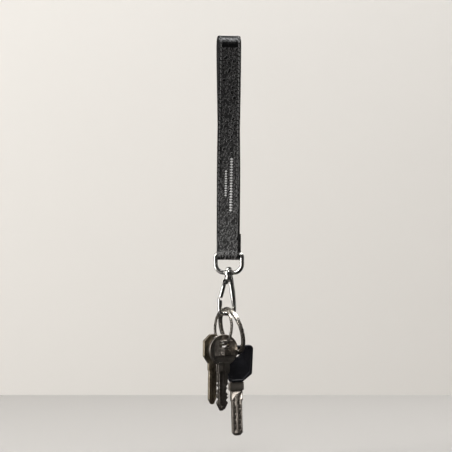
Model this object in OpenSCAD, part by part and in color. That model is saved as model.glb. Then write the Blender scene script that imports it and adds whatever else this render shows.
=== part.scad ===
// Wristlet keychain: a folded leather loop, a swivel snap clasp, two split rings and their keys.
// Millimetres. The origin is the axis of the peg or wrist that the loop's top fold hangs over,
// +X runs to the right across the strap, -Y is the front and +Z is up.

/* [Strap] */
// Width of the strap
strap_w = 18; // [12:0.5:18]
// Thickness of the pebbled outer leather
skin_t = 1.4; // [0.8:0.1:1.6]
// Thickness of the smooth lining
lining_t = 1.2; // [0.8:0.1:1.4]
// Inside radius of the top fold
fold_r = 5; // [4:0.5:8]
// Distance from the top fold's axis down to the ring bar's axis
strap_drop = 167.2; // [140:1:200]
// Turn of the strap's face at the top fold, in degrees
yaw_top = 8; // [0:1:15]
// Turn of the strap's face at the ring bar, in degrees
yaw_bottom = -20; // [-30:1:0]
// Length of the tab that is turned up behind the ring bar
tab_len = 16.5; // [14:0.5:22]

/* [Clasp] */
// Diameter of the swivel ring's rod
rod_d = 3.4; // [3:0.1:3.6]
// Clear width inside the swivel ring
ring_clear = 19; // [18.6:0.2:22]
// Height of the swivel ring between rod centres
ring_h = 14.5; // [13:0.5:18]
// Diameter of the swivel boss
boss_d = 7.6; // [7:0.1:8]
// Diameter of the rivet's shank
shank_d = 3; // [2.6:0.1:3.4]
// Height of the hook between its neck and the middle of its bottom bar
hook_h = 30.6; // [28:0.2:34]
// Diameter of the hook's bottom bar
bar_d = 3.4; // [3:0.1:3.8]
// Diameter of the gate's hinge pin
pin_d = 1.2; // [1:0.1:1.4]

/* [Key rings] */
// Middle radius of the small split ring
small_r = 13.8; // [13:0.1:14.5]
// Middle radius of the large split ring
large_r = 18.3; // [17.5:0.1:19]

/* [Keys] */
// Thickness of the flat metal keys
key_t = 2.2; // [1.8:0.1:2.4]
// Diameter of the round key's head
round_d = 25; // [22:0.5:26]
// Width of the octagonal key's head
octagon_w = 19; // [18:0.5:20]
// Height of the octagonal key's head
octagon_h = 25; // [22:0.5:26]
// Width of the plastic head at its top
plastic_w = 25.2; // [24.8:0.2:25.4]
// Height of the plastic head
plastic_h = 29.5; // [26:0.5:31]
// Thickness of the plastic head
plastic_t = 4.2; // [4:0.1:5]

/* [Hidden] */
$fn = 64;
play = 0.08;
strap_t = skin_t + lining_t;

// ---------- strap layout ----------
bar_z = -strap_drop;
sleeve_r = rod_d / 2 + play;
half_t = strap_t / 2;
glue = 0.06;
front_top = -(fold_r + half_t);
front_seam = -strap_t - glue;
seam_z = bar_z + tab_len;
pinch_z = bar_z + sleeve_r + 2.6;
legs_n = 34;
fold_n = 20;

// Share of the way down from the fold to the sewn end, 0 to 1
function way(z) = min(1, max(0, z / seam_z));
function ease(t) = t * t * (3 - 2 * t);
function twist(z) = yaw_top + (yaw_bottom - yaw_top) * pow(way(z), 1.5);
// Middle of the front leg, the back leg and the tab, measured across the thickness
function front_y(z) = z > seam_z
    ? front_top + (front_seam - front_top) * ease(way(z))
    : z > pinch_z ? front_seam : -sleeve_r - half_t;
function back_y(z) = -front_top * (1 - ease(way(z)));
function tab_y(z) = z > pinch_z ? strap_t + glue : sleeve_r + half_t;

// The strip's route as stations [y, z, outward y, outward z] along its middle line
leg_zs = [for (i = [0:legs_n]) seam_z * i / legs_n];
function arc(z, r, a0, a1) = [for (i = [1:fold_n - 1]) let(a = a0 + (a1 - a0) * i / fold_n)
    [r * cos(a), z + r * sin(a), cos(a), sin(a)]];
function backwards(list) = [for (i = [len(list) - 1:-1:0]) list[i]];
front_leg = [for (z = leg_zs) [front_y(z), z, -1, 0]];
back_leg = backwards([for (z = leg_zs) [back_y(z), z, 1, 0]]);
top_fold = arc(0, fold_r + half_t, 0, 180);
route = concat(
    [[0, pinch_z + 0.4, 1, 0]], back_leg, top_fold, front_leg,
    [[front_seam, pinch_z, -1, 0], [-sleeve_r - half_t, bar_z + 0.4, -1, 0],
        [-sleeve_r - half_t, bar_z, -1, 0]],
    arc(bar_z, sleeve_r + half_t, 180, 360),
    [[sleeve_r + half_t, bar_z, 1, 0], [sleeve_r + half_t, bar_z + 0.4, 1, 0],
        [tab_y(pinch_z + 1), pinch_z, 1, 0], [tab_y(seam_z), seam_z, 1, 0]]);

function turned(x, y, z) = let(a = twist(z)) [x * cos(a) - y * sin(a), x * sin(a) + y * cos(a), z];

// A band that follows stations, from x0 to x1 across the strap and from n0 to n1 outwards
module band(stations, x0, x1, n0, n1) {
    points = [for (s = stations) for (c = [[x0, n0], [x1, n0], [x1, n1], [x0, n1]])
        turned(c[0], s[0] + s[2] * c[1], s[1] + s[3] * c[1])];
    sides = [for (i = [0:len(stations) - 2]) for (k = [0:3])
        let(a = 4 * i + k, b = 4 * i + (k + 1) % 4) each [[a, b + 4, b], [a, a + 4, b + 4]]];
    last = 4 * (len(stations) - 1);
    polyhedron(points, concat([[0, 2, 3], [0, 1, 2]], sides,
        [[last, last + 2, last + 1], [last, last + 3, last + 2]]));
}

module strap_lining() {
    color("#1b1a1b") band(route, -strap_w / 2, strap_w / 2, -half_t, lining_t - half_t);
}

module strap_outer() {
    color("#141315") band(route, -strap_w / 2, strap_w / 2, lining_t - half_t, half_t);
}

// The two rows of thread near the strap's edges, as plain raised lines
stitch_inset = 1.8;
stitch_w = 0.8;
stitch_t = 0.35;
row_route = concat([for (s = back_leg) if (s[1] > seam_z + 3) s], top_fold, front_leg);
module edge_stitches() {
    color("#0c0c0d") for (s = [-1, 1]) {
        x = s * (strap_w / 2 - stitch_inset);
        band(row_route, x - stitch_w / 2, x + stitch_w / 2, half_t, half_t + stitch_t);
    }
}

// Two rows of thread across the tab, which close the sleeve round the ring bar
module closing_stitches() {
    color("#0c0c0d") for (row = [seam_z - 2.2, pinch_z + 2.2])
        rotate([0, 0, yaw_bottom])
            translate([-strap_w / 2 + 2.6, 1.5 * strap_t + glue, row - stitch_w / 2])
                cube([strap_w - 5.2, stitch_t, stitch_w]);
}

// Plain stamped bars on the front face: [left, right, top, bottom]
foil_t = 0.12;
foils = [[1.4, 4.2, -90, -133], [-2.6, -0.4, -100, -122]];
module foil_bars() {
    color("#b9bbbf") for (f = foils) {
        zs = [for (i = [0:10]) f[2] + (f[3] - f[2]) * i / 10];
        band([for (z = zs) [front_y(z), z, -1, 0]], f[0], f[1], half_t, half_t + foil_t);
    }
}

// ---------- clasp ----------
rod_r = rod_d / 2;
half_w = (ring_clear + rod_d) / 2;
top_bend = 2;
low_bend = 7;
boss_h = 4.2;
low_z = bar_z - ring_h;
boss_top = low_z + 2.1;
neck_top = boss_top - boss_h - 0.2;
neck_r = 3.3;
neck_h = 3.6;
hook_z = neck_top - hook_h;
bar_r = bar_d / 2;

// A quarter bend of rod about a point in the XZ plane, from angle a to a + 90
module bend(x, z, r, a) {
    translate([x, 0, z]) rotate([90, 0, 0]) rotate([0, 0, a])
        rotate_extrude(angle = 90) translate([r, 0]) circle(rod_r);
}

module rod(a, b, r) {
    d = b - a;
    translate(a) rotate([0, acos(d[2] / norm(d)), atan2(d[1], d[0])]) cylinder(r = r, h = norm(d));
}

module d_ring() {
    in_top = half_w - top_bend;
    in_low = half_w - low_bend;
    color("#c9cacd") rotate([0, 0, yaw_bottom]) {
        rod([-in_top, 0, bar_z], [in_top, 0, bar_z], rod_r);
        for (s = [0, 1]) mirror([s, 0, 0]) {
            bend(in_top, bar_z - top_bend, top_bend, 0);
            rod([half_w, 0, low_z + low_bend], [half_w, 0, bar_z - top_bend], rod_r);
            bend(in_low, low_z + low_bend, low_bend, -90);
        }
        difference() {
            union() {
                rod([-in_low, 0, low_z], [in_low, 0, low_z], rod_r);
                translate([0, 0, boss_top - boss_h]) cylinder(d = boss_d, h = boss_h);
            }
            translate([0, 0, boss_top - boss_h - 1]) cylinder(r = shank_d / 2 + 0.08, h = boss_h + 2);
        }
    }
}

module swivel_rivet() {
    head_z = boss_top + play;
    color("#d4d5d8") {
        translate([0, 0, neck_top - 2.4]) cylinder(d = shank_d, h = head_z - neck_top + 2.4);
        translate([0, 0, head_z]) rotate_extrude()
            polygon([[0, 0], [2.5, 0], [2.5, 0.5], [2.1, 1.3], [1.4, 2], [0.6, 2.35], [0, 2.4]]);
    }
}

// The gate's hinge and its closed line down to the nose, in the hook's own plane
pin_x = -3.1;
pin_z = neck_top - 5.1;
nose_x = -7.2;
nose_z = neck_top - 18.7;
leg_r = 1.9;
lug_r = 2;
lug_t = 4.4;
slot_t = 2.8;

module hook_body() {
    right_top = [1.5, 0, neck_top - neck_h + 1.2];
    right_low = [4.3, 0, neck_top - 24];
    corner_r = [3.6, 0, hook_z + 0.6];
    corner_l = [nose_x + 0.3, 0, hook_z + 0.6];
    color("#bfc0c3") difference() {
        union() {
            translate([0, 0, neck_top - neck_h]) cylinder(r = neck_r, h = neck_h);
            rod(right_top, right_low, leg_r);
            translate(right_low) sphere(r = 2);
            rod(right_low, corner_r, leg_r - 0.1);
            translate(corner_r) sphere(r = 2);
            rod([nose_x + 0.6, 0, hook_z], [3.6, 0, hook_z], bar_r);
            translate(corner_l) sphere(r = 1.9);
            rod(corner_l, [nose_x, 0, nose_z], leg_r - 0.1);
            translate([pin_x, lug_t / 2, pin_z]) rotate([90, 0, 0]) cylinder(r = lug_r, h = lug_t);
            translate([pin_x - 0.6, -lug_t / 2, pin_z]) cube([3.6, lug_t, 3.2]);
        }
        translate([pin_x - 4, -slot_t / 2, pin_z - 4]) cube([7.2, slot_t, 6.4]);
        translate([pin_x, 4, pin_z]) rotate([90, 0, 0]) cylinder(d = pin_d, h = 8);
        translate([0, 0, neck_top - 2.4]) cylinder(d = shank_d, h = 4);
    }
}

module gate() {
    down = [nose_x - pin_x + 0.35, 0, nose_z - pin_z];
    dir = down / norm(down);
    color("#cfd0d3") difference() {
        union() {
            for (s = [-1, 1]) translate([pin_x, s * 0.9 + 0.4, pin_z]) rotate([90, 0, 0])
                cylinder(r = 1.5, h = 0.8);
            for (s = [-1, 1]) translate([pin_x, 0, pin_z] + dir * 0.9 + [0, s * 0.9, 0])
                rotate([0, atan2(dir[0], dir[2]), 0]) translate([-1.2, -0.4, 0]) cube([2.4, 0.8, 2.4]);
            rod([pin_x, 0, pin_z] + dir * 2.6, [pin_x, 0, pin_z] + dir * (norm(down) - 0.9), 1.6);
        }
        translate([pin_x, 4, pin_z]) rotate([90, 0, 0]) cylinder(r = pin_d / 2 + 0.06, h = 8);
    }
}

module gate_pin() {
    color("#9fa0a3") translate([pin_x, lug_t / 2, pin_z]) rotate([90, 0, 0])
        cylinder(d = pin_d, h = lug_t);
}

module gate_spring() {
    color("#8d8e91") translate([pin_x, 0.4, pin_z]) rotate([90, 0, 0]) rotate_extrude()
        translate([pin_d / 2 + 0.1, 0]) square([0.5, 0.8]);
}

// ---------- key rings ----------
// A ring is [x on the bar, pitch, yaw, lean, middle radius, radial width, axial width, clearance]
small = [-3.9, -2, 28.5, 3, small_r, 1.8, 1.8, 0.35];
large = [0.2, 10, 28.5, -9.5, large_r, 2.8, 2.6, 0.55];

function rx(a, p) = [p[0], p[1] * cos(a) - p[2] * sin(a), p[1] * sin(a) + p[2] * cos(a)];
function ry(a, p) = [p[0] * cos(a) + p[2] * sin(a), p[1], -p[0] * sin(a) + p[2] * cos(a)];
function rz(a, p) = [p[0] * cos(a) - p[1] * sin(a), p[0] * sin(a) + p[1] * cos(a), p[2]];
function drop(ring) = ring[4] - ring[5] / 2 - bar_r - ring[7];
// The point of a ring's wire at an angle from its lowest point, positive towards the back
function on_ring(ring, a) = [ring[0], 0, hook_z]
    + rx(ring[1], rz(ring[2], ry(ring[3], [0, ring[4] * sin(a), -drop(ring) - ring[4] * cos(a)])));

module split_ring(ring) {
    translate([ring[0], 0, hook_z]) rotate([ring[1], 0, 0]) rotate([0, 0, ring[2]])
        rotate([0, ring[3], 0]) translate([0, 0, -drop(ring)]) rotate([0, 90, 0])
            translate([0, 0, -ring[6] / 2]) rotate_extrude($fn = 128)
                translate([ring[4] - ring[5] / 2, 0]) square([ring[5], ring[6]]);
}

module small_split_ring() {
    color("#b0b1b4") split_ring(small);
}

module large_split_ring() {
    color("#a8a9ac") split_ring(large);
}

// ---------- keys ----------
// A key hangs at a point of a ring, turned by yaw, with its tip rolled to the left by roll
module hung(ring, a, yaw, roll) {
    translate(on_ring(ring, a)) rotate([0, 0, yaw]) rotate([0, roll, 0]) children();
}

module plate(t) {
    rotate([90, 0, 0]) translate([0, 0, -t / 2]) linear_extrude(t) children();
}

// A blade outline: it hangs from [x, z], is w wide and long, and has cut notches on its right
module blade(x, z, w, long, tip) {
    polygon([[x - w / 2, z], [x + w / 2, z], [x + w / 2, z - long + tip * 1.2],
        [x + w * 0.15, z - long], [x - w * 0.15, z - long], [x - w / 2, z - long + tip]]);
}

// Cut notches: [distance below the shoulder, depth]
round_cuts = [[11.5, 1.4], [15, 2.2], [18.6, 0.9], [22.2, 1.6]];
wire_room = 1.6;

// The round key is drawn from the point where the ring passes through its slot
round_x = -1.4;
round_z = -4.7;
slot_w = 8.4;
slot_h = 4.2;
round_angle = -18;
module round_key() {
    r = round_d / 2;
    top = round_z - r;
    color("#b7b8ba") hung(small, round_angle, 26, 0) difference() {
        union() {
            plate(key_t) translate([round_x, round_z]) circle(r, $fn = 96);
            plate(key_t) translate([round_x - 4.6, top - 6.4]) square([9.6, 9]);
            plate(key_t) blade(round_x - 0.3, top - 5, 7.6, 29.6, 4);
        }
        plate(key_t + 2) translate([round_x + 0.6 - slot_w / 2, wire_room - slot_h])
            square([slot_w, slot_h]);
        for (c = round_cuts) plate(key_t + 2)
            translate([round_x + 3.5, top - 5 - c[0]]) rotate(45) square(c[1] * 1.41, center = true);
        translate([round_x - 1, -key_t / 2 - 1, top - 32]) cube([0.9, 1.7, 30]);
        translate([round_x - r, -key_t / 2 - 1, round_z - 5.4]) cube([2 * r, 1.3, 0.5]);
    }
}

rear_x = -1.4;
module rear_key() {
    r = 11.5;
    top = -4 - r;
    color("#a9aaad") hung(small, -4, 27, 0) translate([rear_x, 0, 0]) difference() {
        union() {
            plate(key_t) translate([0, -4]) circle(r, $fn = 96);
            plate(key_t) translate([-4.6, top - 6]) square([9, 9]);
            plate(key_t) blade(-0.2, top - 5, 8, 32, 4.4);
        }
        plate(key_t + 2) translate([-rear_x - 4, wire_room - 4.4]) square([8, 4.4]);
        translate([-1, -key_t / 2 - 1, top - 34]) cube([1, 1.7, 30]);
    }
}

octagon_hole = 7.6;
octagon_x = -4.8;
octagon_room = 3.3;
module octagon_key() {
    w = octagon_w / 2;
    h = octagon_h / 2;
    z0 = 1.45 + 3.2 - h;
    low = z0 - h;
    color("#9a8a5e") hung(small, 42, 41, 1) difference() {
        union() {
            plate(key_t) translate([octagon_x, z0]) polygon([[-3, h], [3, h], [w, h - 5],
                [w, 7.8 - h], [3, -h], [-3, -h], [-w, 7.8 - h], [-w, h - 5]]);
            plate(key_t) translate([octagon_x - 4.4, low - 4]) square([8.8, 8]);
            plate(key_t) blade(octagon_x + 0.2, low - 3, 7.6, 28, 4);
        }
        plate(key_t + 2)
            translate([octagon_x + 3.6, octagon_room - octagon_hole / 2]) circle(d = octagon_hole);
        translate([octagon_x - 0.4, -key_t / 2 - 1, low - 30]) cube([1, 1.6, 27]);
    }
}

// Room above the wire in the hole, and how far the head is wider on its right than on its left
large_room = 2.6;
plastic_hole = 6.6;
plastic_x = 0.3;
head_shift = 2.8;
plastic_hole_xs = [0, 1.2];
plastic_top = 5.4;
plastic_taper = 1.8;
tang_w = 9;
tang_h = 12;
tang_t = 2.4;
head_low = plastic_top - plastic_h;
module dimple_key_head() {
    w = plastic_w / 2;
    low_w = w - plastic_taper;
    color("#1d2027") hung(large, 0, 22, -1.5) difference() {
        plate(plastic_t) translate([plastic_x + head_shift, 0]) polygon([
            [-w + 3, plastic_top], [w - 3, plastic_top], [w - 0.8, plastic_top - 1],
            [w, plastic_top - 3.2], [low_w, head_low + 6], [5 - head_shift, head_low],
            [-5 - head_shift, head_low], [-low_w, head_low + 6],
            [-w, plastic_top - 3.2], [-w + 0.8, plastic_top - 1]]);
        plate(plastic_t + 2) for (x = plastic_hole_xs)
            translate([x, large_room - plastic_hole / 2]) circle(d = plastic_hole);
        translate([plastic_x - tang_w / 2, -tang_t / 2, head_low - 1]) cube([tang_w, tang_t, tang_h + 1]);
    }
}

blade_w = 8.8;
blade_l = 27.6;
collar_h = 6.6;
neck_low = head_low - collar_h - 8.6;
dimple_rows = 5;
dimple_pitch = 4.2;
module dimple_key_blade() {
    color("#a9abae") hung(large, 0, 22, -1.5) translate([plastic_x, 0, 0]) difference() {
        union() {
            translate([-tang_w / 2, -tang_t / 2, head_low]) cube([tang_w, tang_t, tang_h]);
            plate(3.4) translate([-6.2, head_low - collar_h]) square([12.4, collar_h]);
            plate(3) translate([-blade_w / 2 - 0.6, neck_low]) square([blade_w + 1.2, 9]);
            plate(3) polygon([[-blade_w / 2, neck_low + 1], [blade_w / 2, neck_low + 1],
                [blade_w / 2, neck_low - blade_l + 2.4], [blade_w / 2 - 2, neck_low - blade_l],
                [-blade_w / 2 + 2, neck_low - blade_l], [-blade_w / 2, neck_low - blade_l + 2.4]]);
        }
        for (i = [0:dimple_rows - 1]) for (x = [-2, 2])
            translate([x, -1, neck_low - 5.6 - i * dimple_pitch]) rotate([90, 0, 0])
                cylinder(r1 = 0.4, r2 = 1.3, h = 0.9);
    }
}

strap_outer();
strap_lining();
edge_stitches();
closing_stitches();
foil_bars();
d_ring();
swivel_rivet();
hook_body();
gate();
gate_pin();
gate_spring();
small_split_ring();
large_split_ring();
round_key();
rear_key();
octagon_key();
dimple_key_head();
dimple_key_blade();
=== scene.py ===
"""Wristlet keychain: a folded leather loop, a swivel snap clasp, two split rings and four keys.

Bench sizes are millimetres, with Z up and -Y to the front. Each finished piece is scaled to metres
as it is put in its place.
"""

import math

import bpy
from mathutils import Matrix, Vector, noise


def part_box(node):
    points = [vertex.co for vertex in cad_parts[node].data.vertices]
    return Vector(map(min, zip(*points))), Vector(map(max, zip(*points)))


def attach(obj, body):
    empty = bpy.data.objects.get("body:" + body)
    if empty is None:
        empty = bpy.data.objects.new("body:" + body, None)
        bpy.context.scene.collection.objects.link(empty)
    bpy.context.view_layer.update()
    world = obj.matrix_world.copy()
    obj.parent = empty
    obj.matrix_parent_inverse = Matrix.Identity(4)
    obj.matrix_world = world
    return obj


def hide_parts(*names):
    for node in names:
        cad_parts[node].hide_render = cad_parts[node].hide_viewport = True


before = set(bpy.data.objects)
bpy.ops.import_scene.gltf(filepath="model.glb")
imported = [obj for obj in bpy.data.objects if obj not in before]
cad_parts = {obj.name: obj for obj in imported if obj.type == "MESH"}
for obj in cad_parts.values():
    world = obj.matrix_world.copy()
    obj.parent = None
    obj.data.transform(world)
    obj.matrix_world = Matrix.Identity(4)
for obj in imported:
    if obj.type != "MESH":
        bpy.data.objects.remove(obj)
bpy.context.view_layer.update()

MM = 0.001

# ---------- driving sizes, in millimetres ----------
STRAP_W = 18
SKIN_T = 1.4
LINING_T = 1.2
FOLD_R = 5
YAW_TOP = 8
YAW_BOTTOM = -20
TAB_LEN = 16.5
ROD_D = 3.4
RING_CLEAR = 19
RING_H = 14.5
BOSS_D = 7.6
SHANK_D = 3
HOOK_H = 30.6
BAR_D = 3.4
PIN_D = 1.2
KEY_T = 2.2
PLAY = 0.08
GLUE = 0.06


def box_mm(node):
    """Lowest and highest corners of a CAD node, in millimetres."""
    low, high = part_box(node)
    return low / MM, high / MM


# ---------- levels worked out from the frame ----------
ROD_R = ROD_D / 2
BAR_R = BAR_D / 2
STRAP_T = SKIN_T + LINING_T
HALF_T = STRAP_T / 2
BAR_Z = box_mm("d_ring")[1].z - ROD_R
LOW_Z = BAR_Z - RING_H
BOSS_H = 4.2
BOSS_TOP = box_mm("d_ring")[0].z + BOSS_H
NECK_TOP = box_mm("hook_body")[1].z
HOOK_Z = NECK_TOP - HOOK_H
SLEEVE_R = ROD_R + PLAY
SEAM_Z = BAR_Z + TAB_LEN
PINCH_Z = BAR_Z + SLEEVE_R + 2.6
FRONT_TOP = -(FOLD_R + HALF_T)
FRONT_SEAM = -STRAP_T - GLUE
PIN = Vector((-3.1, 0, NECK_TOP - 5.1))
NOSE = Vector((-7.2, 0, NECK_TOP - 18.7))


# ---------- bench helpers ----------
def pick(obj):
    """Makes obj the only selected and active object."""
    bpy.ops.object.select_all(action="DESELECT")
    obj.select_set(True)
    bpy.context.view_layer.objects.active = obj
    return obj


def edit_all(obj):
    """Enters edit mode on obj with everything in it selected."""
    pick(obj)
    bpy.ops.object.mode_set(mode="EDIT")
    bpy.ops.mesh.select_all(action="SELECT")


def leave_edit():
    bpy.ops.object.mode_set(mode="OBJECT")


def modify(obj, kind, **settings):
    """Adds a modifier with its settings and applies it."""
    pick(obj)
    modifier = obj.modifiers.new(kind.lower(), kind)
    for name, value in settings.items():
        setattr(modifier, name, value)
    bpy.ops.object.modifier_apply(modifier=modifier.name)
    return obj


def bevel_edges(obj, width, segments=2, angle=40):
    return modify(obj, "BEVEL", width=width, segments=segments, limit_method="ANGLE",
                  angle_limit=math.radians(angle), use_clamp_overlap=True)


def combine(obj, tools, operation):
    """Fuses or cuts obj with each tool, and uses the tools up."""
    for tool in tools:
        modify(obj, "BOOLEAN", object=tool, operation=operation, solver="EXACT")
        bpy.data.objects.remove(tool)
    return obj


def fuse(obj, *tools):
    return combine(obj, tools, "UNION")


def cut(obj, *tools):
    return combine(obj, tools, "DIFFERENCE")


def join(pieces):
    """Joins separate solids into one object."""
    pick(pieces[0])
    for piece in pieces[1:]:
        piece.select_set(True)
    bpy.ops.object.join()
    return bpy.context.view_layer.objects.active


def tidy_mesh(obj, gap=0.001):
    """Merges doubles and turns the faces outwards."""
    edit_all(obj)
    bpy.ops.mesh.remove_doubles(threshold=gap)
    bpy.ops.mesh.normals_make_consistent(inside=False)
    leave_edit()
    return obj


def move_mesh(obj, matrix):
    """Moves the object's mesh and leaves the object at the origin."""
    obj.data.transform(matrix @ obj.matrix_world)
    obj.matrix_world = Matrix.Identity(4)
    return obj


def copy_of(obj, matrix):
    """A copy with its own mesh, moved by a matrix."""
    twin = obj.copy()
    twin.data = obj.data.copy()
    bpy.context.scene.collection.objects.link(twin)
    twin.data.transform(matrix)
    return twin


def new_curve(dimensions, loops, closed, radii=None):
    """A curve object of straight splines through lists of points."""
    curve = bpy.data.curves.new("bench_curve", "CURVE")
    curve.dimensions = dimensions
    for points in loops:
        spline = curve.splines.new("POLY")
        spline.points.add(len(points) - 1)
        for i, point in enumerate(points):
            spline.points[i].co = (point[0], point[1], point[2] if len(point) > 2 else 0, 1)
            spline.points[i].radius = radii[i] if radii else 1
        spline.use_cyclic_u = closed
    obj = bpy.data.objects.new("bench_piece", curve)
    bpy.context.scene.collection.objects.link(obj)
    return obj


def to_mesh(obj):
    pick(obj)
    bpy.ops.object.convert(target="MESH")
    return bpy.context.view_layer.objects.active


def plate(loops, thick, edge=0.2, rounds=2):
    """A plate in the XZ plane with rounded edges; loops after the first are holes through it."""
    obj = new_curve("2D", loops, True)
    obj.data.fill_mode = "BOTH"
    obj.data.extrude = thick / 2 - edge
    obj.data.bevel_depth = edge
    obj.data.bevel_resolution = rounds
    obj.data.offset = -edge
    tidy_mesh(to_mesh(obj))
    return move_mesh(bpy.context.view_layer.objects.active, Matrix.Rotation(math.pi / 2, 4, "X"))


def tube(points, radii, closed=False, sides=9):
    """A round rod along points, with a radius at each of them."""
    obj = new_curve("3D", [points], closed, radii)
    obj.data.bevel_depth = 1
    obj.data.bevel_resolution = sides
    obj.data.use_fill_caps = True
    return tidy_mesh(to_mesh(obj))


def lathe(profile, steps=64):
    """A turned solid about the Z axis from (radius, height) points."""
    obj = to_mesh(new_curve("3D", [[(r, 0, z) for r, z in profile]], False))
    edit_all(obj)
    bpy.ops.mesh.spin(steps=steps, angle=math.tau, center=(0, 0, 0), axis=(0, 0, 1))
    leave_edit()
    return tidy_mesh(obj)


def block(low, high, edge=0.0):
    """A box between two corners, with bevelled edges if edge is given."""
    low, high = Vector(low), Vector(high)
    bpy.ops.mesh.primitive_cube_add(size=1, location=(low + high) / 2)
    obj = bpy.context.view_layer.objects.active
    obj.scale = high - low
    bpy.ops.object.transform_apply(location=True, rotation=False, scale=True)
    return bevel_edges(obj, edge) if edge else obj


def drum(centre, radius, depth, steps=48, top=None):
    """A cylinder or cone along Y, its front end of radius top."""
    bpy.ops.mesh.primitive_cone_add(
        vertices=steps, radius1=radius, radius2=radius if top is None else top, depth=depth,
        location=centre, rotation=(math.pi / 2, 0, 0))
    return bpy.context.view_layer.objects.active


def post(radius, depth, z, steps):
    """A cylinder about the Z axis, its middle at height z."""
    bpy.ops.mesh.primitive_cylinder_add(vertices=steps, radius=radius, depth=depth, location=(0, 0, z))
    return bpy.context.view_layer.objects.active


def rounded(corners, steps=6):
    """A closed outline from (x, z, radius) corners, each turned into an arc."""
    outline = []
    for i, (x, z, radius) in enumerate(corners):
        here = Vector((x, z))
        if not radius:
            outline.append(tuple(here))
            continue
        before = (Vector(corners[i - 1][:2]) - here).normalized()
        after = (Vector(corners[(i + 1) % len(corners)][:2]) - here).normalized()
        half = before.angle(after) / 2
        centre = here + (before + after).normalized() * (radius / math.sin(half))
        start = here + before * (radius / math.tan(half)) - centre
        end = here + after * (radius / math.tan(half)) - centre
        sweep = start.angle_signed(end)
        for k in range(steps + 1):
            turn = Matrix.Rotation(-sweep * k / steps, 2)
            outline.append(tuple(centre + turn @ start))
    return outline


def pad(left, right, top, low, soft, low_soft=None, steps=3):
    """A rectangular outline; soft and low_soft are the radii of its upper and lower corners."""
    low_soft = soft if low_soft is None else low_soft
    corners = [(left, top, soft), (right, top, soft), (right, low, low_soft), (left, low, low_soft)]
    return rounded(corners, steps)


def round_loop(x, z, radius, steps=64):
    return [(x + radius * math.cos(math.tau * k / steps), z + radius * math.sin(math.tau * k / steps))
            for k in range(steps)]


def finish_piece(obj, name, body, material, nodes, place=None, smooth=32):
    """Puts a bench piece in its place and gives it its name, finish and body, and hides the CAD nodes that it
    replaces.
    """
    move_mesh(obj, Matrix.Scale(MM, 4) @ (place or Matrix.Identity(4)))
    obj.name = name
    obj.data.name = name
    obj.data.materials.clear()
    obj.data.materials.append(material)
    pick(obj)
    bpy.ops.object.shade_smooth_by_angle(angle=math.radians(smooth))
    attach(obj, body)
    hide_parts(*nodes)
    return obj


# ---------- finishes ----------
def shader_group(name, inputs, outputs):
    """A shader node group with named inputs and outputs, and its two end nodes."""
    tree = bpy.data.node_groups.new(name, "ShaderNodeTree")
    for label, kind, value in inputs:
        socket = tree.interface.new_socket(label, in_out="INPUT", socket_type="NodeSocket" + kind)
        if value is not None:
            socket.default_value = value
    for label, kind in outputs:
        tree.interface.new_socket(label, in_out="OUTPUT", socket_type="NodeSocket" + kind)
    start = tree.nodes.new("NodeGroupInput")
    end = tree.nodes.new("NodeGroupOutput")
    return tree, start, end


def add_node(tree, kind, links=None, **settings):
    """Adds a node, sets its properties, and links or sets its inputs by name or number."""
    node = tree.nodes.new(kind)
    for key, value in settings.items():
        setattr(node, key, value)
    for key, value in (links or {}).items():
        socket = node.inputs[key]
        if isinstance(value, bpy.types.NodeSocket):
            tree.links.new(value, socket)
        else:
            socket.default_value = value
    return node


def mix_colour(tree, factor, first, second):
    node = tree.nodes.new("ShaderNodeMix")
    node.data_type = "RGBA"
    for socket, value in ((node.inputs[0], factor), (node.inputs[6], first), (node.inputs[7], second)):
        if isinstance(value, bpy.types.NodeSocket):
            tree.links.new(value, socket)
        else:
            socket.default_value = value
    return node.outputs[2]


def remap(tree, value, low, high, to_low, to_high):
    node = add_node(tree, "ShaderNodeMapRange", {
        0: value, 1: low, 2: high, 3: to_low, 4: to_high}, clamp=True)
    return node.outputs[0]


def leather_grain():
    """Fine creases between pebbles, as a height and a crease mask."""
    tree, start, end = shader_group(
        "leather_grain",
        [("Vector", "Vector", None), ("Scale", "Float", 900.0), ("Wander", "Float", 0.3)],
        [("Height", "Float"), ("Crease", "Float")])
    drift = add_node(tree, "ShaderNodeTexNoise", {
        "Vector": start.outputs["Vector"], "Scale": 500.0, "Detail": 2.0})
    offset = add_node(tree, "ShaderNodeVectorMath", {
        0: drift.outputs["Color"], "Scale": 0.0006}, operation="SCALE")
    moved = add_node(tree, "ShaderNodeVectorMath", {
        0: start.outputs["Vector"], 1: offset.outputs[0]}, operation="ADD")
    cells = add_node(tree, "ShaderNodeTexVoronoi", {
        "Vector": moved.outputs[0], "Scale": start.outputs["Scale"],
        "Randomness": 1.0}, feature="DISTANCE_TO_EDGE")
    fine = add_node(tree, "ShaderNodeTexNoise", {
        "Vector": start.outputs["Vector"], "Scale": 5200.0, "Detail": 3.0})
    dome = remap(tree, cells.outputs["Distance"], 0.0, 0.22, 0.0, 1.0)
    rough = add_node(tree, "ShaderNodeMath", {
        0: fine.outputs["Fac"], 1: start.outputs["Wander"]}, operation="MULTIPLY")
    height = add_node(tree, "ShaderNodeMath", {0: dome, 1: rough.outputs[0]}, operation="ADD")
    crease = remap(tree, cells.outputs["Distance"], 0.0, 0.12, 1.0, 0.0)
    tree.links.new(height.outputs[0], end.inputs["Height"])
    tree.links.new(crease, end.inputs["Crease"])
    return tree


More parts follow.
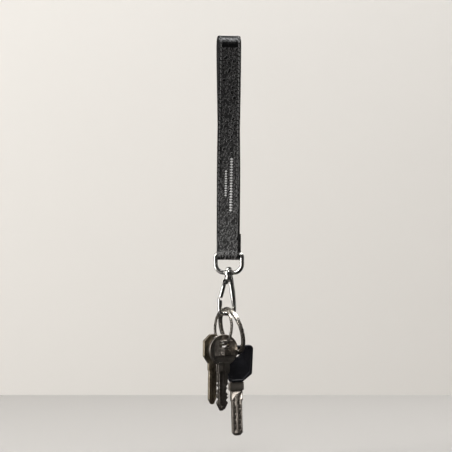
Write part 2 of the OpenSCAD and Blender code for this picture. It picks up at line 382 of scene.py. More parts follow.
def handling_wear():
    """Scratches, smudges and grime from handling, as masks from 0 to 1."""
    tree, start, end = shader_group(
        "handling_wear",
        [("Vector", "Vector", None), ("Scratch Scale", "Float", 1.0), ("Grime Scale", "Float", 180.0)],
        [("Scratches", "Float"), ("Smudge", "Float"), ("Grime", "Float")])
    hairs = []
    for turn in (0.5, -0.9, 1.9):
        lay = add_node(tree, "ShaderNodeMapping", {
            "Vector": start.outputs["Vector"], "Rotation": (turn, turn * 0.7, turn * 1.3),
            "Scale": (4200.0, 120.0, 4200.0)})
        size = add_node(tree, "ShaderNodeVectorMath", {
            0: lay.outputs[0], "Scale": start.outputs["Scratch Scale"]}, operation="SCALE")
        line = add_node(tree, "ShaderNodeTexNoise", {
            "Vector": size.outputs[0], "Scale": 1.0, "Detail": 1.0})
        hairs.append(remap(tree, line.outputs["Fac"], 0.62, 0.72, 0.0, 1.0))
    both = add_node(tree, "ShaderNodeMath", {0: hairs[0], 1: hairs[1]}, operation="MAXIMUM")
    scratch = add_node(tree, "ShaderNodeMath", {0: both.outputs[0], 1: hairs[2]}, operation="MAXIMUM")
    smudge = add_node(tree, "ShaderNodeTexNoise", {
        "Vector": start.outputs["Vector"], "Scale": 130.0, "Detail": 4.0, "Distortion": 0.8})
    grime = add_node(tree, "ShaderNodeTexNoise", {
        "Vector": start.outputs["Vector"], "Scale": start.outputs["Grime Scale"],
        "Detail": 6.0, "Roughness": 0.65})
    tree.links.new(scratch.outputs[0], end.inputs["Scratches"])
    tree.links.new(remap(tree, smudge.outputs["Fac"], 0.35, 0.7, 0.0, 1.0), end.inputs["Smudge"])
    tree.links.new(remap(tree, grime.outputs["Fac"], 0.42, 0.68, 0.0, 1.0), end.inputs["Grime"])
    return tree


def new_finish(name):
    """A material with its node tree, Principled shader and object coordinates."""
    material = bpy.data.materials.new(name)
    material.use_nodes = True
    tree = material.node_tree
    shader = tree.nodes["Principled BSDF"]
    coords = tree.nodes.new("ShaderNodeTexCoord").outputs["Object"]
    return material, tree, shader, coords


def use_group(tree, group, **inputs):
    node = tree.nodes.new("ShaderNodeGroup")
    node.node_tree = group
    for label, value in inputs.items():
        socket = node.inputs[label.replace("_", " ")]
        if isinstance(value, bpy.types.NodeSocket):
            tree.links.new(value, socket)
        else:
            socket.default_value = value
    return node


def bump(tree, height, distance, strength=1.0):
    return add_node(tree, "ShaderNodeBump", {
        "Height": height, "Distance": distance, "Strength": strength}).outputs[0]


def colour(r, g, b):
    return (r, g, b, 1.0)


def paint(tree, shader, tone):
    tree.links.new(tone, shader.inputs["Base Color"])


def smudged(tree, shader, marks, clean, greasy):
    """Roughness that goes from clean to greasy where the surface has been handled."""
    tree.links.new(remap(tree, marks.outputs["Smudge"], 0.0, 1.0, clean, greasy), shader.inputs["Roughness"])


def raised(tree, shader, height, distance, strength=1.0):
    """Bump of a height mask, distance in metres."""
    tree.links.new(bump(tree, height, distance, strength), shader.inputs["Normal"])


def pebbled_leather(grain, wear):
    """Black full-grain leather: glossy pebbles whose shoulders carry a painted highlight in a lighter colour,
    and dull creases.
    """
    material, tree, shader, coords = new_finish("pebbled_leather")
    relief = add_node(tree, "ShaderNodeAttribute", attribute_name="crease").outputs["Fac"]
    pores = use_group(tree, grain, Vector=coords, Scale=1500.0, Wander=0.35)
    marks = use_group(tree, wear, Vector=coords, Scratch_Scale=0.6, Grime_Scale=90.0)
    start, crest, end = 0.15, 0.38, 0.6
    rise = remap(tree, relief, start, crest, 0.0, 1.0)
    fall = remap(tree, relief, crest, end, 1.0, 0.0)
    shoulder_highlight = add_node(tree, "ShaderNodeMath", {0: rise, 1: fall}, operation="MULTIPLY")
    # The grey shoulder colour is a painted highlight standing in for the glint on each pebble's shoulder.
    tone = mix_colour(tree, shoulder_highlight.outputs[0], colour(0.002, 0.002, 0.0022), colour(0.15, 0.148, 0.15))
    worn = mix_colour(tree, marks.outputs["Smudge"], tone, colour(0.004, 0.004, 0.004))
    soft = mix_colour(tree, shoulder_highlight.outputs[0], worn, tone)
    # Deep creases and the sewn channel are painted at the darkest tone, a painted shade.
    deep = remap(tree, relief, end, 1.0, 0.0, 1.0)
    paint(tree, shader, mix_colour(tree, deep, soft, colour(0.002, 0.002, 0.002)))
    dull = remap(tree, relief, 0.3, 1.0, 0.22, 0.75)
    patchy = add_node(tree, "ShaderNodeMath", {0: marks.outputs["Smudge"], 1: 0.08, 2: dull},
                      operation="MULTIPLY_ADD")
    tree.links.new(patchy.outputs[0], shader.inputs["Roughness"])
    raised(tree, shader, pores.outputs["Height"], 0.00006)
    return material


def lining_leather(grain, wear):
    """Smooth black lining leather with fine pores and a little rub."""
    material, tree, shader, coords = new_finish("lining_leather")
    pores = use_group(tree, grain, Vector=coords, Scale=2600.0, Wander=0.5)
    marks = use_group(tree, wear, Vector=coords, Scratch_Scale=0.5, Grime_Scale=60.0)
    skin, pit = colour(0.016, 0.0155, 0.016), colour(0.008, 0.008, 0.008)
    tone = mix_colour(tree, pores.outputs["Crease"], skin, pit)
    paint(tree, shader, mix_colour(tree, marks.outputs["Grime"], tone, colour(0.026, 0.024, 0.023)))
    smudged(tree, shader, marks, 0.5, 0.66)
    raised(tree, shader, pores.outputs["Height"], 0.00002)
    return material


def waxed_thread(wear):
    """Black bonded thread painted dark grey, with lighter ply crowns, as a painted highlight: a slanted ply
    and a waxy sheen.
    """
    material, tree, shader, coords = new_finish("waxed_thread")
    lay = add_node(tree, "ShaderNodeMapping", {
        "Vector": coords, "Rotation": (0.5, 0.3, 0.6)})
    ply = add_node(tree, "ShaderNodeTexWave", {
        "Vector": lay.outputs[0], "Scale": 700.0, "Distortion": 0.6, "Detail": 1.0})
    marks = use_group(tree, wear, Vector=coords)
    # Both tones are lighter than the black thread: a painted highlight, lightest on the ply's crowns.
    lightened_hollow, painted_crown_highlight = colour(0.06, 0.06, 0.06), colour(0.22, 0.218, 0.22)
    paint(tree, shader, mix_colour(tree, ply.outputs["Fac"], lightened_hollow, painted_crown_highlight))
    smudged(tree, shader, marks, 0.28, 0.45)
    raised(tree, shader, ply.outputs["Fac"], 0.00008)
    return material


def polished_metal(name, tint, dark, roughness, scratch=0.12, grime=0.5, dents=0.0):
    """Plated or bare metal: bright ground, hairline scratches, and grime that dulls it in patches."""
    material, tree, shader, coords = new_finish(name)
    tint, dark = colour(*tint), colour(*dark)
    marks = use_group(tree, WEAR, Vector=coords, Scratch_Scale=1.0, Grime_Scale=170.0)
    share = add_node(tree, "ShaderNodeMath", {0: marks.outputs["Grime"], 1: grime}, operation="MULTIPLY")
    paint(tree, shader, mix_colour(tree, share.outputs[0], tint, dark))
    hair = add_node(tree, "ShaderNodeMath", {
        0: marks.outputs["Scratches"], 1: scratch, 2: roughness}, operation="MULTIPLY_ADD")
    film = add_node(tree, "ShaderNodeMath", {
        0: marks.outputs["Smudge"], 1: scratch * 0.8, 2: hair.outputs[0]}, operation="MULTIPLY_ADD")
    total = add_node(tree, "ShaderNodeMath", {
        0: share.outputs[0], 1: 0.3, 2: film.outputs[0]}, operation="MULTIPLY_ADD")
    tree.links.new(total.outputs[0], shader.inputs["Roughness"])
    waves = add_node(tree, "ShaderNodeTexNoise", {"Vector": coords, "Scale": 420.0, "Detail": 3.0})
    wobble = add_node(tree, "ShaderNodeMath", {0: waves.outputs["Fac"], 1: dents}, operation="MULTIPLY")
    nicks = add_node(tree, "ShaderNodeMath", {
        0: marks.outputs["Scratches"], 1: -0.25, 2: wobble.outputs[0]}, operation="MULTIPLY_ADD")
    raised(tree, shader, nicks.outputs[0], 0.00002, 0.6)
    shader.inputs["Metallic"].default_value = 1.0
    return material


def silver_foil(wear):
    """Hot-stamped silver foil with worn speckles; its half-metallic white is partly a painted reflection."""
    material, tree, shader, coords = new_finish("silver_foil")
    marks = use_group(tree, wear, Vector=coords, Scratch_Scale=1.4, Grime_Scale=1400.0)
    bright, rubbed = colour(0.9, 0.9, 0.9), colour(0.5, 0.5, 0.5)
    paint(tree, shader, mix_colour(tree, marks.outputs["Grime"], bright, rubbed))
    smudged(tree, shader, marks, 0.28, 0.5)
    raised(tree, shader, marks.outputs["Grime"], 0.00003)
    # The white is the foil's own colour, but Metallic 0.4 lets it show as diffuse colour under any light, a
    # painted reflection in place of the foil's mirror shine.
    shader.inputs["Metallic"].default_value = 0.4
    return material


def moulded_plastic(wear):
    """Navy-black moulded plastic: fine spark-eroded texture, rubbed and mottled by handling."""
    material, tree, shader, coords = new_finish("moulded_plastic")
    marks = use_group(tree, wear, Vector=coords, Scratch_Scale=0.8, Grime_Scale=420.0)
    skin = add_node(tree, "ShaderNodeTexNoise", {"Vector": coords, "Scale": 3800.0, "Detail": 3.0})
    clean, dusty = colour(0.0022, 0.0024, 0.006), colour(0.006, 0.0063, 0.012)
    tone = mix_colour(tree, marks.outputs["Grime"], clean, dusty)
    paint(tree, shader, mix_colour(tree, marks.outputs["Scratches"], tone, colour(0.03, 0.031, 0.04)))
    smudged(tree, shader, marks, 0.4, 0.62)
    raised(tree, shader, skin.outputs["Fac"], 0.00005)
    return material


GRAIN = leather_grain()
WEAR = handling_wear()
PEBBLED = pebbled_leather(GRAIN, WEAR)
LINING = lining_leather(GRAIN, WEAR)
THREAD = waxed_thread(WEAR)
FOIL = silver_foil(WEAR)
CHROME = polished_metal("polished_chrome", (0.78, 0.77, 0.75), (0.5, 0.47, 0.43), 0.07, 0.1, 0.25)
SPRING_STEEL = polished_metal("spring_steel", (0.5, 0.5, 0.5), (0.3, 0.29, 0.27), 0.2)
RING_STEEL = polished_metal("ring_steel", (0.72, 0.68, 0.61), (0.36, 0.31, 0.25), 0.14, 0.16)
NICKEL = polished_metal("worn_nickel", (0.4, 0.365, 0.325), (0.12, 0.104, 0.088), 0.22, 0.2, 0.7, 0.6)
BRASS = polished_metal("tarnished_brass", (0.46, 0.4, 0.3), (0.15, 0.12, 0.09), 0.24, 0.2, 0.75, 0.6)
KEY_STEEL = polished_metal("key_steel", (0.5, 0.45, 0.4), (0.22, 0.19, 0.165), 0.36, 0.2, 0.55, 0.4)
PLASTIC = moulded_plastic(WEAR)


# ---------- strap ----------
def way(z):
    """Share of the way down from the fold to the sewn end, 0 to 1."""
    return min(1, max(0, z / SEAM_Z))


def ease(t):
    return t * t * (3 - 2 * t)


def twist(z):
    """How far the strap's face is turned at a height, in radians."""
    return math.radians(YAW_TOP + (YAW_BOTTOM - YAW_TOP) * way(z) ** 1.5)


def front_y(z):
    if z > SEAM_Z:
        return FRONT_TOP + (FRONT_SEAM - FRONT_TOP) * ease(way(z))
    return FRONT_SEAM if z > PINCH_Z else -SLEEVE_R - HALF_T


def back_y(z):
    return -FRONT_TOP * (1 - ease(way(z)))


def run(start, end, step):
    """Heights from start to end, about a step apart, with start left out."""
    count = max(1, round(abs(end - start) / step))
    return [start + (end - start) * i / count for i in range(1, count + 1)]


def fold(z, radius, start, end, step):
    """Stations round a fold: y, z, and the outward direction."""
    count = max(6, round(radius * abs(end - start) / step))
    angles = [start + (end - start) * i / count for i in range(1, count)]
    return [(radius * math.cos(a), z + radius * math.sin(a), math.cos(a), math.sin(a)) for a in angles]


def strip_route(step):
    """The strip's middle line from its sewn end, up the back, over the fold and round the ring bar."""
    sleeve = SLEEVE_R + HALF_T
    tab = STRAP_T + GLUE
    route = [(0, PINCH_Z + 0.4, 1, 0)]
    route += [(0, z, 1, 0) for z in run(PINCH_Z + 0.4, SEAM_Z, step)]
    route += [(back_y(z), z, 1, 0) for z in run(SEAM_Z, 0, step)]
    route += fold(0, FOLD_R + HALF_T, 0, math.pi, step)
    route += [(front_y(z), z, -1, 0) for z in [0] + run(0, SEAM_Z, step)]
    route += [(FRONT_SEAM, z, -1, 0) for z in run(SEAM_Z, PINCH_Z, step)]
    for z in run(PINCH_Z, BAR_Z, step):
        share = ease((PINCH_Z - z) / (PINCH_Z - BAR_Z))
        route.append((FRONT_SEAM - (sleeve + FRONT_SEAM) * share, z, -1, 0))
    route += fold(BAR_Z, sleeve, math.pi, math.tau, step)
    for z in [BAR_Z] + run(BAR_Z, PINCH_Z, step):
        share = ease((z - BAR_Z) / (PINCH_Z - BAR_Z))
        route.append((sleeve + (tab - sleeve) * share, z, 1, 0))
    route += [(tab, z, 1, 0) for z in run(PINCH_Z, SEAM_Z, step)]
    return route


def on_strip(station, across, out):
    """The point of the strip at a station, a distance across it and outwards from its middle."""
    y, z, out_y, out_z = station
    flat = Vector((across, y + out_y * out, z + out_z * out))
    return Matrix.Rotation(twist(flat.z), 3, "Z") @ flat


def lengths(route):
    """Distance along the route to each station."""
    done = [0.0]
    for a, b in zip(route, route[1:]):
        done.append(done[-1] + math.hypot(b[0] - a[0], b[1] - a[1]))
    return done


PEBBLE_WIDE = 1.9
PEBBLE_LONG = 3.8
PEBBLE_SLANT = math.radians(28)
PEBBLE_DEEP = 0.4
SEAM_DEEP = 0.3
FINE_STEP = 0.38
COARSE_STEP = 1.0
ROUTE = strip_route(FINE_STEP)
ALONG = lengths(ROUTE)
STITCH_X = STRAP_W / 2 - 1.8
STITCH_PITCH = 3.4
SEWN_FROM = ALONG[0] + (SEAM_Z + 3 - PINCH_Z)
FOLD_TOP = next(a for a, s in zip(ALONG, ROUTE) if s[3] > 0.999)
SEWN_TO = 2 * FOLD_TOP - (SEAM_Z - PINCH_Z) + 0.4


def station_at(distance):
    """The station a distance along the route, between its two neighbours."""
    i = max(1, min(len(ALONG) - 1, next((k for k, a in enumerate(ALONG) if a >= distance), len(ALONG) - 1)))
    share = (distance - ALONG[i - 1]) / max(1e-9, ALONG[i] - ALONG[i - 1])
    return tuple(a + (b - a) * share for a, b in zip(ROUTE[i - 1], ROUTE[i]))


GRAIN_SEED = 11
noise.seed_set(GRAIN_SEED)


def pebble(across, distance):
    """Relief of the pebbled grain: depth of the crease from 0 to 1, and the swell of each pebble."""
    cos, sin = math.cos(PEBBLE_SLANT), math.sin(PEBBLE_SLANT)
    u = (across * cos + distance * sin) / PEBBLE_WIDE
    v = (distance * cos - across * sin) / PEBBLE_LONG
    drift = noise.noise_vector(Vector((u * 0.8, v * 0.8, 3))) * 0.25
    near = noise.voronoi(Vector((u, v, 0)) + drift)[0]
    crease = max(0.0, 1 - (near[1] - near[0]) / 0.4) ** 1.3
    swell = noise.noise(Vector((across * 0.5, distance * 0.25, 7)))
    return crease, swell


def sewn_channel(across, distance):
    """How far the thread has pulled the leather in, from 0 to 1."""
    if not SEWN_FROM < distance < SEWN_TO:
        return 0.0
    side = math.exp(-((abs(across) - STITCH_X) / 0.55) ** 2)
    phase = math.cos(math.tau * (distance - SEWN_FROM) / STITCH_PITCH)
    return side * (0.65 + 0.35 * phase)


def ribbon(name, route, section, relief=None):
    """A closed strip: section is its outline across, as (across, out) pairs that end where they start."""
    rows, columns = len(route) - 1, len(section) - 1
    bpy.ops.mesh.primitive_grid_add(x_subdivisions=columns, y_subdivisions=rows, size=2)
    obj = bpy.context.view_layer.objects.active
    distances = lengths(route)
    creases = []
    for vertex in obj.data.vertices:
        i = round((vertex.co.y + 1) / 2 * rows)
        j = round((vertex.co.x + 1) / 2 * columns)
        across, out = section[j]
        depth, crease = relief(across, out, distances[i], route[i]) if relief else (0.0, 0.0)
        vertex.co = on_strip(route[i], across, out - depth)
        creases.append(crease)
    if relief:
        attribute = obj.data.attributes.new("crease", "FLOAT", "POINT")
        attribute.data.foreach_set("value", creases)
    edit_all(obj)
    bpy.ops.mesh.remove_doubles(threshold=0.00001)
    bpy.ops.mesh.select_all(action="SELECT")
    bpy.ops.mesh.fill_holes(sides=0)
    bpy.ops.mesh.select_all(action="SELECT")
    bpy.ops.mesh.normals_make_consistent(inside=False)
    leave_edit()
    obj.name = name
    return obj


def band_section(low, high, edge, columns):
    """Outline of a strip between two levels, with its outer edges rounded."""
    half = STRAP_W / 2
    corner = [(half - edge + edge * math.sin(a), high - edge + edge * math.cos(a))
              for a in (math.pi / 2, math.pi / 3, math.pi / 6)]
    face = [(-half + edge + (STRAP_W - 2 * edge) * j / columns, high) for j in range(columns + 1)]
    left = [(-x, n) for x, n in corner]
    return [(-half, low)] + left + face + corner[::-1] + [(half, low), (-half, low)]


def leather_relief(across, out, distance, station):
    """Depth of the outer skin's relief, and the crease mask for its finish."""
    edge = min(1.0, max(0.0, (STRAP_W / 2 - abs(across)) / 0.9))
    if out < HALF_T - 0.01:
        return 0.0, 0.0
    smooth_fold = max(0.0, min(1.0, (-1.5 - station[1]) / 3))
    sleeve = 1 - 0.6 * max(0.0, min(1.0, (BAR_Z + 3.5 - station[1]) / 2))
    crease, swell = pebble(across, distance)
    channel = sewn_channel(across, distance)
    depth = edge * smooth_fold * sleeve * (PEBBLE_DEEP * crease + 0.06 * swell + 0.02)
    return depth + SEAM_DEEP * channel, crease * edge * smooth_fold * sleeve + 1.2 * channel


def stitch_on(thread, distance, across, out, slant):
    """A copy of one stitch laid on the strip along its length."""
    centre = on_strip(station_at(distance), across, out)
    ahead = on_strip(station_at(distance + 0.8), across, out)
    beside = on_strip(station_at(distance), across + 0.5, out)
    along = (ahead - centre).normalized()
    up = (beside - centre).cross(along).normalized()
    turn = Matrix((up.cross(along), along, up)).transposed().to_4x4()
    return copy_of(thread, Matrix.Translation(centre) @ turn @ Matrix.Rotation(slant, 4, "Z"))


def one_stitch(length, width, height):
    """One stitch along Y: a thread that dips into its holes at both ends."""
    points = []
    radii = []
    for i in range(7):
        t = -1 + i / 3
        points.append((0, t * length / 2, height * (0.55 - 0.8 * abs(t) ** 2.5)))
        radii.append(width / 2 * (1 - 0.35 * abs(t) ** 3))
    return tube(points, radii, sides=2)


def build_strap():
    outer = ribbon("pebbled_strip", ROUTE, band_section(LINING_T - HALF_T, HALF_T, 0.4, 46), leather_relief)
    finish_piece(outer, "pebbled_strip", "strap", PEBBLED, ["strap_outer"], smooth=60)
    coarse = strip_route(COARSE_STEP)
    flipped = [(x, -n) for x, n in band_section(HALF_T - LINING_T, HALF_T, 0.35, 12)]
    lining = ribbon("lining_strip", coarse, flipped)
    finish_piece(lining, "lining_strip", "strap", LINING, ["strap_lining"], smooth=60)


def build_stitches():
    thread = one_stitch(2.6, 0.8, 0.42)
    count = int((SEWN_TO - SEWN_FROM) / STITCH_PITCH)
    rows = [stitch_on(thread, SEWN_FROM + STITCH_PITCH * (i + 0.5), side * STITCH_X, HALF_T + 0.03, 0.12)
            for side in (-1, 1) for i in range(count)]
    finish_piece(join(rows), "edge_thread", "strap", THREAD, ["edge_stitches"], smooth=70)
    tab_start = ALONG[-1] - (SEAM_Z - PINCH_Z)
    closing = []
    for level in (SEAM_Z - 2.2, PINCH_Z + 2.2):
        for i in range(5):
            across = -5.2 + 2.6 * i
            piece = stitch_on(thread, tab_start + level - PINCH_Z, across, HALF_T - 0.02, math.pi / 2)
            closing.append(piece)
    bpy.data.objects.remove(thread)
    finish_piece(join(closing), "closing_thread", "strap", THREAD, ["closing_stitches"], smooth=70)


def lozenge(width, height, thick):
    """A thin stamped lozenge in the XZ plane."""
    soft = 0.12
    corners = [(-width / 2, 0, soft), (0, height / 2, soft), (width / 2, 0, soft), (0, -height / 2, soft)]
    return plate([rounded(corners, 2)], thick, 0.04, 1)


def build_foil():
    """Two plain rows of stamped lozenges down the front face."""
    marks = []
    proud = 0.09
    rows = ((1.4, 4.2, -90, -133, 2.15), (-2.6, -0.4, -100, -122, 1.9))
    for left, right, top, bottom, pitch in rows:
        stamp = lozenge(right - left, pitch * 0.86, 0.16)
        count = int((top - bottom) / pitch)
        for i in range(count):
            z = top - pitch * (i + 0.5)
            place = Matrix.Rotation(twist(z), 4, "Z") @ Matrix.Translation(
                ((left + right) / 2, front_y(z) - HALF_T - proud, z))
            marks.append(copy_of(stamp, place))
        bpy.data.objects.remove(stamp)
    finish_piece(join(marks), "foil_stamp", "strap", FOIL, ["foil_bars"])


# ---------- clasp ----------
def swivel_frame():
    return Matrix.Rotation(math.radians(YAW_BOTTOM), 4, "Z")


def build_ring():
    """The D-ring: one bent rod with the swivel boss on its low side."""
    half_w = (RING_CLEAR + ROD_D) / 2
    path = rounded([(-half_w, BAR_Z, 2), (half_w, BAR_Z, 2), (half_w, LOW_Z, 7), (-half_w, LOW_Z, 7)], 12)
    loop = tube([(x, 0, z) for x, z in path], [ROD_R] * len(path), closed=True, sides=12)
    low = BOSS_TOP - BOSS_H
    radius = BOSS_D / 2
    bore = SHANK_D / 2 + PLAY
    boss = lathe([(bore, low), (radius - 0.5, low), (radius - 0.1, low + 0.25), (radius, low + 0.6),
                  (radius, low + 2.9), (radius - 0.35, low + 3.5), (radius - 0.9, BOSS_TOP - 0.12),
                  (radius - 1.3, BOSS_TOP), (bore, BOSS_TOP), (bore, low)])
    cut(loop, post(bore, BOSS_H + 2, BOSS_TOP - BOSS_H / 2, 64))
    ring = fuse(loop, boss)
    finish_piece(ring, "swivel_ring", "swivel_ring", CHROME, ["d_ring"], swivel_frame(), 40)


def build_rivet():
    top = BOSS_TOP + PLAY
    shank = SHANK_D / 2
    profile = [(0, NECK_TOP - 2.4), (shank - 0.2, NECK_TOP - 2.4), (shank, NECK_TOP - 2.2), (shank, top),
               (2.3, top), (2.5, top + 0.2), (2.5, top + 0.55)]
    profile += [(2.5 * math.cos(a), top + 0.55 + 1.85 * math.sin(a)) for a in
                [math.pi / 2 * i / 8 for i in range(1, 8)]] + [(0, top + 2.4)]
    finish_piece(lathe(profile), "swivel_rivet_head", "hook", CHROME, ["swivel_rivet"])


def build_hook():
    """The cast hook: neck, hinge lug, one bent leg that ends in the nose."""
    right_low = NECK_TOP - 24
    slim = BAR_R - 0.05
    path = [(1.2, NECK_TOP - 2.2), (1.9, NECK_TOP - 5.5), (3.1, NECK_TOP - 14.5), (4.25, right_low)]
    corners = [(4.35, right_low, 0), (4.0, HOOK_Z, 3.2), (-7.1, HOOK_Z, 3.0), (-7.25, HOOK_Z + 6, 0)]
    path += rounded(corners, 10)[:-1]
    path += [(-7.2, z) for z in run(HOOK_Z + 4, NOSE.z - 0.6, 1.2)]
    path += [(-7.2, NOSE.z), (-7.2, NOSE.z + 0.45), (-7.2, NOSE.z + 0.7)]
    radii = []
    for x, z in path:
        side = 2.1 if x > 2 else 1.85
        rise = max(0.0, min(1.0, (z - HOOK_Z - 3.5) / 2.5))
        radii.append(slim + (side - slim) * ease(rise))
    radii[0], radii[1] = 2.3, 2.1
    radii[-3:] = [1.85, 1.45, 0.75]
    leg = tube([(x, 0, z) for x, z in path], radii, sides=12)
    neck = lathe([(0, NECK_TOP - 4.4), (2.2, NECK_TOP - 4.2), (3.0, NECK_TOP - 3.7), (3.3, NECK_TOP - 2.9),
                  (3.3, NECK_TOP - 0.9), (3.15, NECK_TOP - 0.35), (2.8, NECK_TOP), (0, NECK_TOP)])
    lug = [(PIN.x - 2, PIN.z - 2, 1.9), (PIN.x + 2.2, PIN.z - 2, 1.6), (PIN.x + 4.4, PIN.z + 3.4, 1),
           (PIN.x - 0.2, PIN.z + 3.4, 0.6), (PIN.x - 2, PIN.z + 1, 1.2)]
    lug = plate([rounded(lug, 8)], 4.4, 0.5, 3)
    body = fuse(leg, neck, lug)
    slot = block((PIN.x - 4, -1.4, PIN.z - 4), (PIN.x + 3.2, 1.4, PIN.z + 2.4))
    bore = drum((PIN.x, 0, PIN.z), PIN_D / 2, 8, 32)
    notch = block((NOSE.x + 0.5, -3, NOSE.z - 1.2), (NOSE.x + 3, 3, NOSE.z + 2))
    cut(body, slot, bore, notch)
    cut(body, post(SHANK_D / 2, 4, NECK_TOP - 0.4, 48))
    bevel_edges(body, 0.1, 2, 50)
    finish_piece(body, "cast_hook", "hook", CHROME, ["hook_body"], None, 40)


def build_gate():
    """The spring gate: a tapered rod with two ears on the hinge pin."""
    line = Vector((NOSE.x - PIN.x + 0.35, 0, NOSE.z - PIN.z))
    aim = line.normalized()
    reach = line.length - 0.9
    marks = [(1.7, 1.0), (1.9, 1.35), (2.6, 1.55), (4.5, 1.62), (8, 1.66), (reach - 2.6, 1.66),
             (reach - 0.9, 1.62), (reach - 0.35, 1.45), (reach, 1.05)]
    rod = tube([PIN + aim * t for t, _ in marks], [r for _, r in marks], sides=12)
    ears = []
    for side in (-1, 1):
        ears.append(drum((PIN.x, side * 0.9, PIN.z), 1.5, 0.8))
        arm = plate([[(-1.2, -0.2), (1.2, -0.2), (1.2, -2.9), (-1.2, -2.9)]], 0.8, 0.08, 1)
        turn = Matrix.Rotation(math.atan2(-aim.x, -aim.z), 4, "Y")
        ears.append(move_mesh(arm, Matrix.Translation((PIN.x, side * 0.9, PIN.z)) @ turn))
    gate = fuse(rod, *ears)
    cut(gate, drum((PIN.x, 0, PIN.z), PIN_D / 2 + 0.06, 8, 32))
    finish_piece(gate, "spring_gate", "gate", CHROME, ["gate"], None, 40)


def build_pin():
    """The hinge pin with lightly domed ends."""
    half = 2.2
    pin = lathe([(0, -half - 0.1), (0.35, -half - 0.06), (PIN_D / 2, -half + 0.1), (PIN_D / 2, half - 0.1),
                 (0.35, half + 0.06), (0, half + 0.1)], 32)
    place = Matrix.Translation(PIN) @ Matrix.Rotation(math.pi / 2, 4, "X")
    finish_piece(pin, "hinge_pin", "hook", SPRING_STEEL, ["gate_pin"], place)


def build_spring():
    """The gate's torsion spring: a small coil round the pin."""
    turns, wire, radius = 2.4, 0.13, 0.86
    coil = [(radius * math.cos(a), -0.27 + 0.54 * a / (turns * math.tau), radius * math.sin(a))
            for a in [turns * math.tau * i / 72 for i in range(73)]]
    obj = tube([(x + PIN.x, y, z + PIN.z) for x, y, z in coil], [wire] * len(coil), sides=3)
    finish_piece(obj, "torsion_spring", "hook", SPRING_STEEL, ["gate_spring"], None, 60)


# ---------- split rings ----------
# Each ring: place on the hook's bar, pitch, yaw and lean in degrees, middle radius,
# radial width, axial width and clearance under the bar
SMALL = dict(x=-3.9, pitch=-2, yaw=28.5, lean=3, radius=13.8, radial=1.7, axial=1.7, gap=0.35)
LARGE = dict(x=0.2, pitch=10, yaw=28.5, lean=-9.5, radius=18.3, radial=2.8, axial=2.6, gap=0.55)


def turn(degrees, axis):
    return Matrix.Rotation(math.radians(degrees), 4, axis)


def ring_frame(ring):
    """The frame of a ring's centre, with the ring's own axis along X."""
    drop = ring["radius"] - ring["radial"] / 2 - BAR_R - ring["gap"]
    return (Matrix.Translation((ring["x"], 0, HOOK_Z)) @ turn(ring["pitch"], "X") @ turn(ring["yaw"], "Z")
            @ turn(ring["lean"], "Y") @ Matrix.Translation((0, 0, -drop)))


def on_ring(ring, degrees):
    """The point of a ring's wire at an angle from its lowest point, positive towards the back."""
    angle = math.radians(degrees)
    return ring_frame(ring) @ Vector((0, ring["radius"] * math.sin(angle), -ring["radius"] * math.cos(angle)))


def key_frame(ring, degrees, yaw, roll):
    """The frame of a key that hangs at a point of a ring."""
    return Matrix.Translation(on_ring(ring, degrees)) @ turn(yaw, "Z") @ turn(roll, "Y")


def split_coil(ring, jog_at):
    """Two turns of flat wire side by side, with the sideways step where one turn passes to the other."""
    pitch = ring["axial"] / 2
    half_jog = 16
    end_gap = 19
    path = []
    for degrees in range(end_gap, 720 - end_gap + 1, 3):
        step = min(1.0, max(0.0, (degrees - 360 + half_jog) / (2 * half_jog)))
        angle = math.radians(degrees + jog_at)
        side = (ease(step) - 0.5) * pitch
        path.append((ring["radius"] * math.cos(angle), ring["radius"] * math.sin(angle), side))
    wide, deep = ring["radial"] / 2, pitch / 2 - 0.02
    soft = min(wide, deep) * 0.45
    outline = rounded([(-wide, -deep, soft), (wide, -deep, soft), (wide, deep, soft), (-wide, deep, soft)], 3)
    profile = new_curve("2D", [outline], True)
    coil = new_curve("3D", [path], False)
    coil.data.twist_mode = "Z_UP"
    coil.data.bevel_mode = "OBJECT"
    coil.data.bevel_object = profile
    coil.data.use_fill_caps = True
    coil = tidy_mesh(to_mesh(coil))
    bpy.data.objects.remove(profile)
    return coil


def build_rings():
    for ring, name, node, jog_at in ((SMALL, "small_coil_ring", "small_split_ring", 205),
                                     (LARGE, "large_coil_ring", "large_split_ring", 150)):
        place = ring_frame(ring) @ turn(90, "Y")
        finish_piece(split_coil(ring, jog_at), name, name.replace("_coil", ""), RING_STEEL,
                     [node], place, 40)


# ---------- keys ----------
KEY_SMOOTH = 38


def bit(x, top, width, length, tip, thick, cuts=(), side=1):
    """A key's blade with a chamfered tip; cuts are (distance down from the top, depth) along one edge."""
    half = width / 2
    near = [(x + side * half, top, 0)]
    for down, depth in cuts:
        edge, floor = x + side * half, x + side * (half - depth)
        near += [(edge, top - down + depth + 0.3, 0.2), (floor, top - down + 0.3, 0.15),
                 (floor, top - down - 0.3, 0.15), (edge, top - down - depth - 0.3, 0.2)]
    near += [(x + side * half, top - length + tip * 1.2, 0.6), (x + side * width * 0.15, top - length, 0.5)]
    far = [(x - side * width * 0.15, top - length, 0.5), (x - side * half, top - length + tip, 0.6),
           (x - side * half, top, 0)]
    return plate([rounded(near + far, 3)], thick, 0.2)


def milled_groove(x, top, bottom, width, depth, face):
    """A cutter for a groove with slanted sides and run-out ends, on the front or back face."""
    half = width / 2
    bpy.ops.mesh.primitive_cube_add(size=2)
    tool = bpy.context.view_layer.objects.active
    for vertex in tool.data.vertices:
        inner = vertex.co.y * face < 0
        reach = 0.55 if inner else 1.25
        run_out = 0 if inner else 1.6
        z = top + run_out if vertex.co.z > 0 else bottom - run_out
        y = face * (KEY_T / 2 - depth) if inner else face * (KEY_T / 2 + 0.4)
        vertex.co = (x + vertex.co.x * half * reach, y, z)
    return tidy_mesh(tool)


